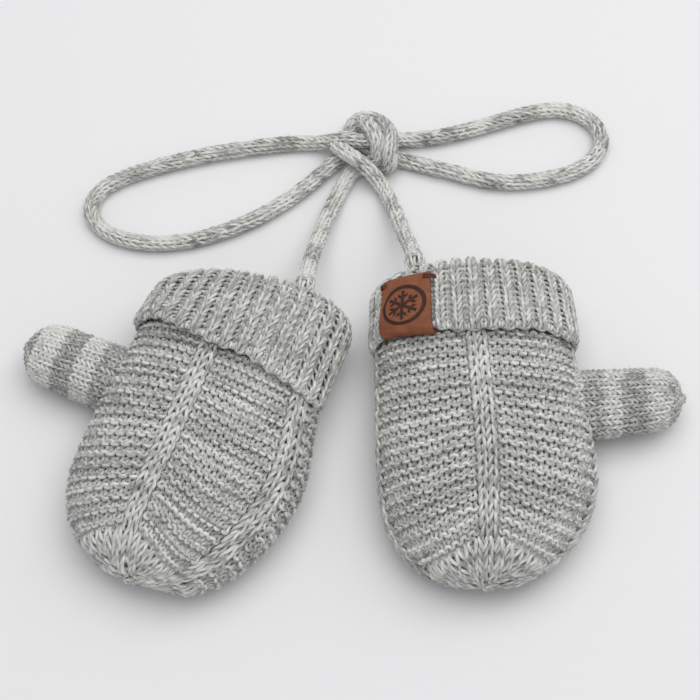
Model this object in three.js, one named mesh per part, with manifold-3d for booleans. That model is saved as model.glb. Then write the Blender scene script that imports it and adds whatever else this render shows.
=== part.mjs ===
// A pair of knitted child's mittens joined by one knitted cord that is tied in a bow.
// Millimetres, +Z up. The pair lies on its palms on the plane z = 0, with +X to the right
// of the wearer's view and +Y from the finger tips towards the cuffs and the bow.
import * as THREE from 'three';
import { mergeVertices } from 'three/addons/utils/BufferGeometryUtils.js';
import Module from 'manifold-3d';

// ---- driving dimensions -------------------------------------------------------------

const GAP = 0.3;                 // air between two pieces that touch

const HAND_LENGTH = 132.5;       // folded edge of the cuff to the gathered tip
const HAND_HALF_WIDTH = 43;    // widest half width, across the knuckles
const HAND_TOP = 41.5;         // height of the padded hand
const SWELL_END = 74;          // distance from the fold at which it has its full width and height
const TIP_START = 82;          // the tip rounds off from here
const HAND_MIDDLE = 17.5;      // height of the widest line
const TIP_HEIGHT = 15;         // height of the gathered point
const HEEL_HALF_WIDTH = 40.3;  // just below the cuff
const HEEL_TOP = 39.6;
const NECK_HALF_WIDTH = 36;    // the hand's tube under the turned-back cuff
const NECK_TOP = 37.5;
const NECK_BOTTOM = 5.5;
const NECK_END = 32;           // the tube widens to the hand between these two
const HAND_START = 40;
const WALL = 3;                // knitted fabric
const LINING_WALL = 2.2;       // fleece
const ROUND_ABOVE = 2.05;      // exponents of the section: 2 is an ellipse, more is squarer
const ROUND_BELOW = 2.3;
const FOLD_BOW = 6;            // the folded edge falls back by this at its two sides
const PALM_DIP = 2.2;          // how far the section would bulge below the flat palm

const CUFF_HALF_WIDTH = 41.5;
const CUFF_TOP = 43;
const CUFF_MIDDLE = 21.5;
const CUFF_HEM = 33;           // fold to hem
const CUFF_FLARE = 1;          // how much the hem stands out further than the fold
const CUFF_WALL = 4.2;
const LIP_DEPTH = 8;           // how far the fabric reaches into the mouth
const LIP_INSET = 11.4;
const LIP_BACK_INSET = 8.9;    // its hidden face
const RIM = 5;                 // the hand's tube ends here, inside the fold
const RIM_CLEARANCE = 0.4;
const LINING_RIM = 8.5;

const THUMB_AT = 55.7;         // fold to the thumb's middle
const THUMB_HEIGHT = 13;
const THUMB_LENGTH = 41;
const THUMB_HALF_WIDTH = 13.4;
const THUMB_HALF_HEIGHT = 11;
const THUMB_ROUND = 14;        // length of the rounded end
const THUMB_WALL = 2.6;
const THUMB_LINING_WALL = 1.8;
const THUMB_CLEARANCE = 0.6;   // root to the hand's side
const THUMB_LOW_BEVEL = 7.6;   // lets the thumb fold towards the finger tips
const THUMB_HIGH_BEVEL = 2.4;  // and a little towards the cuff
const THUMB_HOLE = [9, 7.4];   // half width and half height of the hole in the hand's side
const THUMB_HOLE_LENGTH = 18;  // how much of the hand's side the hole is cut through
const THUMB_HOLE_FROM_AXIS = 39;

const TIE_RADIUS = 3;          // yarn drawn through the last loops of a tip
const TIE_THICKNESS = 1.6;
const TIE_EDGE = 0.6;          // how far its two faces are smaller than its rim

const LABEL_ANGLES = [115.9, 151.3];  // degrees round the cuff's section
const LABEL_TOP = 8;
const LABEL_THICKNESS = 1.3;
const LABEL_BACK = 24;         // the hidden leaf ends here
const LABEL_BEHIND = 3.9;      // depth of the hidden leaf at the hem
const LABEL_BEHIND_END = 4.7;  // and at its end
const LABEL_STITCH_LENGTH = 3.6;
const LABEL_STITCH_THICKNESS = 0.9;
const LABEL_STITCH_LIFT = 2.3; // middle of the thread above the cuff's face
const LABEL_STITCH_REACH = 10;
const LABEL_STITCH_INSET = 4.5;  // degrees from the label's side

const CORD_RADIUS = 3.5;
const CORD_SIDES = 10;
const KNOT_RADII = [12, 15, 8.2];
const CORD_STITCH_RADIUS = 4.3;
const CORD_STITCH_CLEARANCE = 0.6;

// Where each mitten lies: middle of its folded edge, its turn about +Z, how far the middle
// of the hand swings out sideways, and where along the fold its cord is sewn on.
const MITTENS = {
  right: { side: 1, x: 48.6, y: 63.5, turn: 2.2, sway: 1.2, anchor: [-22.5, 33.3] },
  left: { side: -1, x: -35.4, y: 56.4, turn: -22.4, sway: 1.6, anchor: [17.7, 34.7] },
};

// The cord's route, chosen by hand. Each stretch ends where it meets the knot or a cuff.
const KNOT = [6.3, 131.5, 8.4];
const LEFT_LOOP = [
  [-8.8, 134.9, 3.6], [-24, 134.9, 3.6], [-38, 133.2, 3.6], [-57, 130, 3.6],
  [-76, 125.2, 3.6], [-94, 118.8, 3.6], [-104.6, 112, 3.6], [-108.2, 102.8, 3.6],
  [-104, 94.6, 3.6], [-93.3, 89, 3.6], [-77.4, 87.3, 3.6], [-59.2, 90.6, 3.6],
  [-42.4, 97.5, 3.6], [-28.5, 106, 3.6], [-17.4, 115, 3.6], [-9, 123.4, 3.6],
];
const RIGHT_LOOP = [
  [20.2, 127.4, 3.6], [30.4, 124.5, 3.6], [43.4, 121, 3.6], [56.3, 117.4, 3.6],
  [69, 116.2, 3.6], [82, 117.7, 3.6], [95, 121.8, 3.6], [103, 127.7, 3.6],
  [106.4, 135.2, 3.6], [104.4, 143.1, 3.6], [97.8, 148.8, 3.6], [87.4, 151.2, 3.6],
  [74.3, 149, 3.6], [61.2, 144.8, 3.6], [48, 140.6, 3.6], [35, 137.6, 3.6], [21, 136.2, 3.6],
];
const LEFT_TAIL = [
  [-3, 114, 3.6], [-6.6, 106, 4], [-10.4, 94.3, 8.4], [-14, 80, 15.6],
  [-16.4, 66.6, 24.6], [-17.3, 57, 32],
];
const RIGHT_TAIL = [
  [12.2, 116.4, 3.6], [15.2, 110.4, 4], [18.8, 99.4, 8.4], [21.9, 86.4, 15.8],
  [24.2, 76, 24.2], [25.6, 69.2, 29.8],
];

// Middle of the two mittens' outline, which becomes the origin.
const LAYOUT_CENTRE = [0.4, -2.5];

const wasm = await Module();
wasm.setup();

// ---- materials ----------------------------------------------------------------------

function material(color, roughness) {
  return new THREE.MeshStandardMaterial({ color, roughness, metalness: 0 });
}

const knitYarn = material(0xb4b4b0, 0.95);
const sewingYarn = material(0x9b9b97, 0.95);
const fleece = material(0xd9d8d4, 1);
const leather = material(0x93553a, 0.6);
const thread = material(0x6d3a26, 0.7);

// ---- helpers ------------------------------------------------------------------------

const step = (from, to, x) => THREE.MathUtils.smoothstep(x, from, to);
const mix = THREE.MathUtils.lerp;
const signedPower = (value, power) => Math.sign(value) * Math.abs(value) ** power;

function signedVolume(geometry) {
  const index = geometry.getIndex();
  const position = geometry.getAttribute('position');
  const points = [0, 1, 2].map(() => new THREE.Vector3());
  let volume = 0;
  for (let i = 0; i < index.count; i += 3) {
    points.forEach((p, k) => p.fromBufferAttribute(position, index.getX(i + k)));
    volume += points[0].dot(points[1].cross(points[2])) / 6;
  }
  return volume;
}

// Leaves only positions, merges shared vertices and turns the faces outwards.
function closed(geometry) {
  geometry.deleteAttribute('normal');
  geometry.deleteAttribute('uv');
  const merged = mergeVertices(geometry, 1e-4);
  if (signedVolume(merged) < 0) {
    const array = merged.getIndex().array;
    for (let i = 0; i < array.length; i += 3) [array[i], array[i + 1]] = [array[i + 1], array[i]];
  }
  return merged;
}

function toSolid(geometry) {
  const vertProperties = new Float32Array(geometry.getAttribute('position').array);
  const triVerts = new Uint32Array(geometry.getIndex().array);
  return new wasm.Manifold(new wasm.Mesh({ numProp: 3, vertProperties, triVerts }));
}

function fromSolid(solid) {
  const mesh = solid.getMesh();
  const geometry = new THREE.BufferGeometry();
  geometry.setAttribute('position', new THREE.BufferAttribute(mesh.vertProperties, 3));
  geometry.setIndex(new THREE.BufferAttribute(mesh.triVerts, 1));
  return geometry;
}

function piece(name, geometry, look) {
  geometry.computeVertexNormals();
  const mesh = new THREE.Mesh(geometry, look);
  mesh.name = name;
  return mesh;
}

// A lathe whose rings are then placed one by one. Each ring is what `place` needs to know
// about it; a ring marked `pole` closes on a point.
function ringBody(rings, segments, place) {
  const profile = rings.map((ring, i) => new THREE.Vector2(ring.pole ? 0 : 1, i));
  const geometry = new THREE.LatheGeometry(profile, segments);
  const position = geometry.getAttribute('position');
  for (let i = 0; i <= segments; i += 1) {
    const angle = ((i % segments) / segments) * Math.PI * 2;
    rings.forEach((ring, j) => position.setXYZ(i * rings.length + j, ...place(ring, angle)));
  }
  return closed(geometry);
}

// A point of a section that is rounded above and flat below, at an angle from +X.
function sectionPoint({ half, top, bottom, middle, dip }, angle) {
  const power = 2 / (Math.sin(angle) > 0 ? ROUND_ABOVE : ROUND_BELOW);
  const across = signedPower(Math.cos(angle), power);
  const up = signedPower(Math.sin(angle), power);
  const z = middle + up * (up > 0 ? top - middle : middle - bottom + dip);
  return [half * across, Math.max(z, bottom)];
}

// How far the middle of a section lies to the side of the mitten's straight axis.
function swayAt(reach, sway) {
  const t = THREE.MathUtils.clamp((reach - NECK_END) / (HAND_LENGTH - NECK_END), 0, 1);
  return sway * Math.sin(Math.PI * t) ** 2;
}

// The extra distance from the fold that a point has because the folded edge is bowed.
function bowAt(reach, x) {
  return FOLD_BOW * Math.max(0, 1 - reach / CUFF_HEM) * (x / CUFF_HALF_WIDTH) ** 2;
}

// A section's point in the mitten's own frame, with its origin in the middle of the fold.
function onMitten(section, reach, angle, sway) {
  const [x, z] = sectionPoint(section, angle);
  return [x + swayAt(reach, sway), -reach - bowAt(reach, x), z];
}

// ---- the hand -----------------------------------------------------------------------

// The hand's section at a distance from the fold, `inset` inside its outer face.
function handSection(reach, inset) {
  const open = step(NECK_END, HAND_START, reach);
  const swell = step(HAND_START, SWELL_END, reach);
  const half = mix(NECK_HALF_WIDTH, mix(HEEL_HALF_WIDTH, HAND_HALF_WIDTH, swell), open) - inset;
  const top = mix(NECK_TOP, mix(HEEL_TOP, HAND_TOP, swell), open) - inset;
  const bottom = mix(NECK_BOTTOM, 0, open) + inset;
  const middle = mix(CUFF_MIDDLE, HAND_MIDDLE, open);
  const t = Math.min(1, Math.max(0, (reach - TIP_START) / (HAND_LENGTH - inset - TIP_START)));
  if (t === 0) return { half, top, bottom, middle, dip: PALM_DIP };
  const towardsTip = step(0, 1, t);
  return {
    half: half * (1 - t ** 2.6) ** 0.45,
    top: TIP_HEIGHT + (top - TIP_HEIGHT) * (1 - t ** 2.3) ** 0.5,
    bottom: TIP_HEIGHT - (TIP_HEIGHT - bottom) * (1 - t ** 4) ** 0.5,
    middle: mix(middle, TIP_HEIGHT, towardsTip),
    dip: PALM_DIP * (1 - t ** 2),
  };
}

// Distances from the fold: even down the hand, then closing in on the tip.
function handStations(rim, inset) {
  const straight = [rim, 20, NECK_END, 38, HAND_START, 56, 70, TIP_START];
  const tip = HAND_LENGTH - inset - TIP_START;
  const round = [0.32, 0.55, 0.74, 0.87, 0.95, 0.985].map((t) => TIP_START + tip * t);
  return [...straight, ...round];
}

function handCup(rim, outerInset, innerInset, segments, sway) {
  const layer = (inset) => handStations(rim, inset).map((reach) => ({ reach, inset }));
  const pole = (inset) => ({ reach: HAND_LENGTH - inset, inset, pole: true });
  const outer = [pole(outerInset), ...layer(outerInset).reverse()];
  const inner = [...layer(innerInset), pole(innerInset)];
  return ringBody([...outer, ...inner], segments, (ring, angle) => {
    if (ring.pole) return [0, -ring.reach, TIP_HEIGHT];
    return onMitten(handSection(ring.reach, ring.inset), ring.reach, angle, sway);
  });
}

function withThumbHole(geometry, side) {
  const hole = new THREE.CylinderGeometry(1, 1, THUMB_HOLE_LENGTH, 24);
  hole.rotateZ(Math.PI / 2);
  hole.scale(1, THUMB_HOLE[0], THUMB_HOLE[1]);
  hole.translate(side * THUMB_HOLE_FROM_AXIS, -THUMB_AT, THUMB_HEIGHT);
  return fromSolid(toSolid(geometry).subtract(toSolid(closed(hole))));
}

const handShell = ({ side, sway }) => withThumbHole(handCup(RIM, 0, WALL, 32, sway), side);

function handLining({ side, sway }) {
  const outer = WALL + GAP;
  return withThumbHole(handCup(LINING_RIM, outer, outer + LINING_WALL, 24, sway), side);
}

// ---- the turned-back cuff -----------------------------------------------------------

function cuffSection(reach, inset) {
  const flare = CUFF_FLARE * step(10, CUFF_HEM, reach);
  return {
    half: CUFF_HALF_WIDTH + flare - inset,
    top: CUFF_TOP + flare - inset,
    bottom: inset,
    middle: CUFF_MIDDLE,
    dip: PALM_DIP,
  };
}

const cuffPoint = (reach, inset, angle) => onMitten(cuffSection(reach, inset), reach, angle, 0);

// One loop: down the outside, under the hem, up inside, over the hand's rim and into the mouth.
function cuff() {
  const rim = RIM - RIM_CLEARANCE;
  const profile = [
    [CUFF_HEM, 1.2], [CUFF_HEM - 1.2, 0], [18, 0], [7, 0.4], [2.4, 1.8], [0.4, 4.2], [0, 6.2],
    [0.6, 8.6], [2.4, 10.6], [5, LIP_INSET], [LIP_DEPTH, LIP_INSET], [LIP_DEPTH, LIP_BACK_INSET],
    [rim, 8.8],
    [rim, CUFF_WALL + 0.8], [18, CUFF_WALL],
    [CUFF_HEM - 1.2, 3.6], [CUFF_HEM, 2.4], [CUFF_HEM, 1.2],
  ];
  const rings = profile.map(([reach, inset]) => ({ reach, inset }));
  return ringBody(rings, 32, (ring, angle) => cuffPoint(ring.reach, ring.inset, angle));
}

// ---- the thumb ----------------------------------------------------------------------

// A sleeve with a round end, lying along +X from the hand's side. Its root is bevelled both ways.
function thumbCup(outerInset, innerInset, segments) {
  const end = (inset) => THUMB_LENGTH - inset;
  const start = THUMB_LENGTH - THUMB_ROUND;
  const layer = (inset) => [
    { root: true, inset, scale: 1 },
    { out: 9, inset, scale: 1 },
    { out: 16, inset, scale: 1 },
    { out: start, inset, scale: 1 },
    ...[0.4, 0.68, 0.87, 0.97].map((t) => ({
      out: start + (end(inset) - start) * t, inset, scale: (1 - t ** 2.4) ** 0.46,
    })),
  ];
  const pole = (inset) => ({ out: end(inset), inset, pole: true });
  const rings = [
    pole(outerInset), ...layer(outerInset).reverse(), ...layer(innerInset), pole(innerInset),
  ];
  return ringBody(rings, segments, (ring, angle) => {
    if (ring.pole) return [ring.out, 0, THUMB_HEIGHT];
    const width = (THUMB_HALF_WIDTH - ring.inset) * ring.scale;
    const height = (THUMB_HALF_HEIGHT - ring.inset) * ring.scale;
    const across = width * signedPower(Math.cos(angle), 0.92);
    const up = height * signedPower(Math.sin(angle), 0.92);
    const share = across / THUMB_HALF_WIDTH;
    const bevel = share < 0 ? THUMB_LOW_BEVEL * (-share) ** 1.4 : THUMB_HIGH_BEVEL * share ** 1.4;
    return [ring.root ? THUMB_CLEARANCE + bevel : ring.out, across, THUMB_HEIGHT + up];
  });
}

// Distance of the thumb's root from the mitten's straight axis.
const thumbRoot = ({ side, sway }) => handSection(THUMB_AT, 0).half + side * swayAt(THUMB_AT, sway);

function placeThumb(geometry, place) {
  const position = geometry.getAttribute('position');
  for (let i = 0; i < position.count; i += 1) {
    position.setX(i, place.side * (thumbRoot(place) + position.getX(i)));
    position.setY(i, position.getY(i) - THUMB_AT);
  }
  return closed(geometry);
}

// ---- small trim ---------------------------------------------------------------------

// A flat button of drawn yarn, its axis along +Y until it is turned.
function tie() {
  const half = TIE_THICKNESS / 2;
  const profile = [
    [0, -half], [TIE_RADIUS - TIE_EDGE, -half], [TIE_RADIUS, 0],
    [TIE_RADIUS - TIE_EDGE, half], [0, half],
  ];
  return closed(new THREE.LatheGeometry(profile.map(([r, y]) => new THREE.Vector2(r, y)), 14));
}

// The label's U section round the hem, swept round the cuff's outer face.
function label() {
  const face = -GAP;
  const fold = CUFF_HEM + GAP;
  const inner = [
    [LABEL_TOP, face], [fold, face], [fold + LABEL_THICKNESS * 0.4, 1.2], [fold, LABEL_BEHIND],
    [LABEL_BACK, LABEL_BEHIND_END],
  ];
  const outer = [
    [LABEL_BACK, LABEL_BEHIND_END + LABEL_THICKNESS * 0.75],
    [fold + 0.4, LABEL_BEHIND + LABEL_THICKNESS * 0.7],
    [fold + LABEL_THICKNESS * 1.3, 1.4], [fold + 0.4, face - LABEL_THICKNESS],
    [LABEL_TOP, face - LABEL_THICKNESS],
  ];
  const outline = [...inner, ...outer].map(([reach, inset]) => new THREE.Vector2(reach, inset));
  const options = { depth: 1, steps: 8, bevelEnabled: false };
  const geometry = new THREE.ExtrudeGeometry(new THREE.Shape(outline), options);
  const position = geometry.getAttribute('position');
  const [from, to] = LABEL_ANGLES.map(THREE.MathUtils.degToRad);
  for (let i = 0; i < position.count; i += 1) {
    const angle = mix(from, to, position.getZ(i));
    position.setXYZ(i, ...cuffPoint(position.getX(i), position.getY(i), angle));
  }
  return closed(geometry);
}

// One stitch lies across a top corner of the label.
function labelStitch(angleDegrees) {
  const angle = THREE.MathUtils.degToRad(angleDegrees);
  const [x, y, z] = cuffPoint(LABEL_STITCH_REACH, -LABEL_STITCH_LIFT, angle);
  const [nextX, , nextZ] = cuffPoint(LABEL_STITCH_REACH, -LABEL_STITCH_LIFT, angle + 0.02);
  const straight = LABEL_STITCH_LENGTH - LABEL_STITCH_THICKNESS;
  const geometry = new THREE.CapsuleGeometry(LABEL_STITCH_THICKNESS / 2, straight, 3, 8);
  geometry.rotateZ(Math.PI / 2);
  geometry.rotateY(Math.atan2(z - nextZ, nextX - x));
  geometry.translate(x, y, z);
  return closed(geometry);
}

// ---- the cord -----------------------------------------------------------------------

function cordTube(points, steps) {
  const route = points.map((p) => new THREE.Vector3(...p));
  const path = new THREE.CatmullRomCurve3(route, false, 'centripetal');
  const section = new THREE.Shape();
  section.absarc(0, 0, CORD_RADIUS, 0, Math.PI * 2);
  const tube = new THREE.ExtrudeGeometry(section, {
    steps, extrudePath: path, curveSegments: CORD_SIDES, bevelEnabled: false,
  });
  return closed(tube);
}

// The outer shape of the tied strands, flat where it lies.
function knot() {
  const geometry = new THREE.SphereGeometry(1, 16, 12);
  geometry.rotateX(Math.PI / 2);
  geometry.scale(...KNOT_RADII);
  geometry.translate(...KNOT);
  return closed(geometry);
}

const cordStitch = () => closed(new THREE.SphereGeometry(CORD_STITCH_RADIUS, 14, 10));

// ---- assembly -----------------------------------------------------------------------

function mitten(name, place) {
  const { side, x, y, turn, anchor } = place;
  const group = new THREE.Group();
  group.position.set(x, y, 0);
  group.rotation.z = THREE.MathUtils.degToRad(turn);

  group.add(piece(`${name}_shell`, handShell(place), knitYarn));
  group.add(piece(`${name}_lining`, handLining(place), fleece));
  group.add(piece(`${name}_cuff`, cuff(), knitYarn));

  const thumb = placeThumb(thumbCup(0, THUMB_WALL, 20), place);
  const inner = THUMB_WALL + GAP;
  const thumbLining = placeThumb(thumbCup(inner, inner + THUMB_LINING_WALL, 16), place);
  group.add(piece(`${name}_thumb`, thumb, knitYarn));
  group.add(piece(`${name}_thumb_lining`, thumbLining, fleece));

  const tipTie = piece(`${name}_tip_tie`, tie(), sewingYarn);
  tipTie.position.set(0, -HAND_LENGTH - GAP - TIE_THICKNESS / 2, TIP_HEIGHT);
  group.add(tipTie);

  const thumbTie = piece(`${name}_thumb_tie`, tie(), sewingYarn);
  thumbTie.rotation.z = Math.PI / 2;
  const thumbEnd = thumbRoot(place) + THUMB_LENGTH + GAP + TIE_THICKNESS / 2;
  thumbTie.position.set(side * thumbEnd, -THUMB_AT, THUMB_HEIGHT);
  group.add(thumbTie);

  const stitch = piece(`${name}_cord_stitch`, cordStitch(), sewingYarn);
  const behindFold = CORD_STITCH_RADIUS + CORD_STITCH_CLEARANCE - bowAt(0, anchor[0]);
  stitch.position.set(anchor[0], behindFold, anchor[1]);
  group.add(stitch);
  return group;
}

const group = new THREE.Group();
group.position.set(-LAYOUT_CENTRE[0], -LAYOUT_CENTRE[1], 0);
for (const [name, place] of Object.entries(MITTENS)) group.add(mitten(name, place));

const rightMitten = group.children[0];
rightMitten.add(piece('label', label(), leather));
const leftStitch = labelStitch(LABEL_ANGLES[1] - LABEL_STITCH_INSET);
const rightStitch = labelStitch(LABEL_ANGLES[0] + LABEL_STITCH_INSET);
rightMitten.add(piece('label_stitch_left', leftStitch, thread));
rightMitten.add(piece('label_stitch_right', rightStitch, thread));

group.add(piece('cord_left_tail', cordTube(LEFT_TAIL, 7), knitYarn));
group.add(piece('cord_left_loop', cordTube(LEFT_LOOP, 24), knitYarn));
group.add(piece('bow_knot', knot(), knitYarn));
group.add(piece('cord_right_loop', cordTube(RIGHT_LOOP, 20), knitYarn));
group.add(piece('cord_right_tail', cordTube(RIGHT_TAIL, 6), knitYarn));

export default group;
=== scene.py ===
"""A pair of knitted child's mittens joined by one knitted cord that is tied in a bow.

Every knitted piece is made of its yarn: each round of stitches is a tube that runs through its
loops, laid on a smooth surface that follows the CAD's solids, over a thin closed body. Lengths
are millimetres until a mesh is made, apart from the camera, the cord's points and the lights.
"""
import math
from functools import partial

import bmesh
import bpy
import numpy as np
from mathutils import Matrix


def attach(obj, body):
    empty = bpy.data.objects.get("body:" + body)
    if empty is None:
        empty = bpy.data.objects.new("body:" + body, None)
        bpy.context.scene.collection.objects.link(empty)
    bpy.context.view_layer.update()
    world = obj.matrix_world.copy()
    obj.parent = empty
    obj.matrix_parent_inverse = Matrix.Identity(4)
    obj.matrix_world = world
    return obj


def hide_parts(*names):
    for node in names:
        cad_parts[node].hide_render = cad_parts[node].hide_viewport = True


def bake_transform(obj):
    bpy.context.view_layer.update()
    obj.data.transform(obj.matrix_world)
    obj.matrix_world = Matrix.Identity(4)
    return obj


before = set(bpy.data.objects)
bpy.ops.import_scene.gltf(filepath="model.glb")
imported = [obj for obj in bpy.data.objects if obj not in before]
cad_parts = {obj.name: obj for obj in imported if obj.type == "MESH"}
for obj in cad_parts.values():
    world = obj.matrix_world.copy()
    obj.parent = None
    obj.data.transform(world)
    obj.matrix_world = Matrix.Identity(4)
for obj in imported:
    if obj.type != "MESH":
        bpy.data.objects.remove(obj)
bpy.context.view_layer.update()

MM = 0.001
TAU = 2 * math.pi


def smooth(low, high, x):
    t = np.clip((np.asarray(x, float) - low) / (high - low), 0, 1)
    return t * t * (3 - 2 * t)


def mix(a, b, t):
    return a + (b - a) * t


def signed_power(value, power):
    return np.sign(value) * np.abs(value) ** power


def unit(vectors):
    return vectors / np.maximum(np.linalg.norm(vectors, axis=-1, keepdims=True), 1e-9)


def circle(angle, across, other):
    """Directions at angles round a circle, from one way across it to the other."""
    return np.cos(angle)[..., None] * across + np.sin(angle)[..., None] * other


# ---- camera ----

VIEW_TARGET = (-0.0004, 0.0425, 0.0)
VIEW_ELEVATION = math.radians(65)
VIEW_DISTANCE = 1.1
VIEW_LENS = 138

camera_data = bpy.data.cameras.new("camera")
camera_data.lens = VIEW_LENS
camera_data.sensor_width = 36
camera = bpy.data.objects.new("camera", camera_data)
camera.location = (
    VIEW_TARGET[0],
    VIEW_TARGET[1] - VIEW_DISTANCE * math.cos(VIEW_ELEVATION),
    VIEW_TARGET[2] + VIEW_DISTANCE * math.sin(VIEW_ELEVATION),
)
camera.rotation_euler = (math.pi / 2 - VIEW_ELEVATION, 0, 0)
bpy.context.scene.collection.objects.link(camera)
bpy.context.scene.camera = camera

# ---- the cord's route ----

# One cord, from the left mitten's fold to the right one's. The points are listed in metres: the
# tails and loops are the CAD's, and the knot's strands lie inside its solid.
LEFT_TAIL = [
    (-0.0200, 0.0510, 0.0330), (-0.0188, 0.0552, 0.0338), (-0.0178, 0.0600, 0.0316),
    (-0.0168, 0.0691, 0.0246), (-0.0144, 0.0825, 0.0156),
    (-0.0108, 0.0968, 0.0084), (-0.0070, 0.1085, 0.0040), (-0.0034, 0.1165, 0.0036),
]
KNOT_FIRST = [
    (0.0009, 0.1238, 0.0037), (0.0066, 0.1262, 0.0046), (0.0109, 0.1280, 0.0085),
    (0.0111, 0.1312, 0.0131), (0.0098, 0.1360, 0.0143), (0.0072, 0.1413, 0.0124),
    (0.0054, 0.1450, 0.0083), (0.0066, 0.1418, 0.0042), (0.0098, 0.1350, 0.0036),
    (0.0133, 0.1278, 0.0037), (0.0160, 0.1245, 0.0066), (0.0163, 0.1263, 0.0110),
    (0.0167, 0.1308, 0.0127), (0.0166, 0.1364, 0.0127), (0.0134, 0.1420, 0.0120),
    (0.0078, 0.1456, 0.0104), (0.0028, 0.1462, 0.0076), (-0.0001, 0.1437, 0.0046),
    (-0.0012, 0.1390, 0.0036), (-0.0022, 0.1345, 0.0036), (-0.0048, 0.1302, 0.0036),
]
LEFT_LOOP = [
    (-0.0094, 0.1259, 0.0036), (-0.0178, 0.1175, 0.0036), (-0.0289, 0.1085, 0.0036),
    (-0.0428, 0.1000, 0.0036), (-0.0596, 0.0931, 0.0036), (-0.0778, 0.0898, 0.0036),
    (-0.0937, 0.0915, 0.0036), (-0.1044, 0.0971, 0.0036), (-0.1086, 0.1053, 0.0036),
    (-0.1050, 0.1145, 0.0036), (-0.0944, 0.1213, 0.0036), (-0.0764, 0.1277, 0.0036),
    (-0.0574, 0.1325, 0.0036), (-0.0384, 0.1357, 0.0036), (-0.0244, 0.1374, 0.0036),
]
KNOT_SECOND = [
    (-0.0150, 0.1374, 0.0040), (-0.0080, 0.1360, 0.0078), (-0.0016, 0.1350, 0.0108),
    (0.0040, 0.1352, 0.0096), (0.0100, 0.1357, 0.0086), (0.0154, 0.1370, 0.0062),
]
RIGHT_LOOP = [
    (0.0206, 0.1387, 0.0040), (0.0346, 0.1401, 0.0036), (0.0476, 0.1431, 0.0036),
    (0.0608, 0.1473, 0.0036), (0.0739, 0.1515, 0.0036), (0.0870, 0.1537, 0.0036),
    (0.0974, 0.1513, 0.0036), (0.1040, 0.1456, 0.0036), (0.1060, 0.1377, 0.0036),
    (0.1026, 0.1302, 0.0036), (0.0946, 0.1243, 0.0036), (0.0816, 0.1202, 0.0036),
    (0.0686, 0.1187, 0.0036), (0.0559, 0.1199, 0.0036), (0.0430, 0.1235, 0.0036),
    (0.0300, 0.1270, 0.0036), (0.0198, 0.1299, 0.0036),
]
KNOT_THIRD = [
    (0.0142, 0.1318, 0.0046), (0.0085, 0.1342, 0.0052), (0.0030, 0.1372, 0.0056),
    (-0.0022, 0.1388, 0.0058), (-0.0058, 0.1370, 0.0066), (-0.0058, 0.1332, 0.0088),
    (-0.0028, 0.1292, 0.0112), (0.0016, 0.1256, 0.0118), (0.0056, 0.1226, 0.0108),
    (0.0090, 0.1204, 0.0078),
]
RIGHT_TAIL = [
    (0.0118, 0.1180, 0.0050), (0.0148, 0.1129, 0.0042), (0.0184, 0.1019, 0.0084),
    (0.0215, 0.0889, 0.0158), (0.0238, 0.0785, 0.0242), (0.0250, 0.0722, 0.0296),
    (0.0256, 0.0668, 0.0326), (0.0257, 0.0618, 0.0326),
]
CORD_POINTS = LEFT_TAIL + KNOT_FIRST + LEFT_LOOP + KNOT_SECOND + RIGHT_LOOP + KNOT_THIRD + RIGHT_TAIL
CURVE_STEPS = 24           # from one of a curve's points to the next


def run_along(line):
    """How far along a line each of its points lies."""
    return np.concatenate([[0], np.cumsum(np.linalg.norm(np.diff(line, axis=0), axis=1))])


def resample(points, spacing):
    """A centripetal Catmull-Rom curve through the points, at even steps of about `spacing`."""
    points = np.asarray(points, float)
    points = np.vstack([2 * points[0] - points[1], points, 2 * points[-1] - points[-2]])
    fine = []
    share = np.linspace(0, 1, CURVE_STEPS, endpoint=False)[:, None]
    for p0, p1, p2, p3 in zip(points, points[1:], points[2:], points[3:]):
        t1 = np.linalg.norm(p1 - p0) ** 0.5
        t2 = t1 + np.linalg.norm(p2 - p1) ** 0.5
        t3 = t2 + np.linalg.norm(p3 - p2) ** 0.5
        t = mix(t1, t2, share)
        a1 = mix(p0, p1, t / t1)
        a2 = mix(p1, p2, (t - t1) / (t2 - t1))
        a3 = mix(p2, p3, (t - t2) / (t3 - t2))
        b1 = mix(a1, a2, t / t2)
        b2 = mix(a2, a3, (t - t1) / (t3 - t1))
        fine.append(mix(b1, b2, (t - t1) / (t2 - t1)))
    fine = np.vstack([*fine, points[-2:-1]])
    along = run_along(fine)
    even = np.linspace(0, along[-1], round(along[-1] / spacing) + 1)
    return np.stack([np.interp(even, along, fine[:, k]) for k in range(3)], axis=1), along[-1]


# ---- the mittens' shape ----

HAND_LENGTH = 132.5
HAND_HALF_WIDTH, HAND_TOP = 43, 41.5
TIP_START, TIP_HEIGHT = 82, 15
HAND_MIDDLE = 17.5
HEEL_HALF_WIDTH, HEEL_TOP = 40.3, 39.6
NECK_HALF_WIDTH, NECK_TOP, NECK_BOTTOM = 36, 37.5, 5.5
NECK_END, HAND_START = 28.5, 35
SWELL_END = 74             # where the hand is at its widest
ROUND_ABOVE, ROUND_BELOW = 2.05, 2.3
FOLD_BOW = 6
PALM_DIP = 2.2

CUFF_HALF_WIDTH, CUFF_TOP, CUFF_MIDDLE = 41.5, 43, 21.5
CUFF_HEM, CUFF_FLARE = 33, 1

THUMB_AT, THUMB_HEIGHT, THUMB_LENGTH = 55.7, 13, 41
THUMB_HALF_WIDTH, THUMB_HALF_HEIGHT = 13.4, 11
THUMB_ROUND = 14           # length of its rounded end
THUMB_ROOT_SWELL, THUMB_NARROWS = 1.10, 0.09
THUMB_ROUNDNESS = 0.94
# Powers with which each surface closes over a tip.
TIP_SIDES, TIP_CROWN, TIP_PALM, THUMB_TIP = (2.6, 0.45), (2.3, 0.5), (4, 0.5), (2.4, 0.46)

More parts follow.
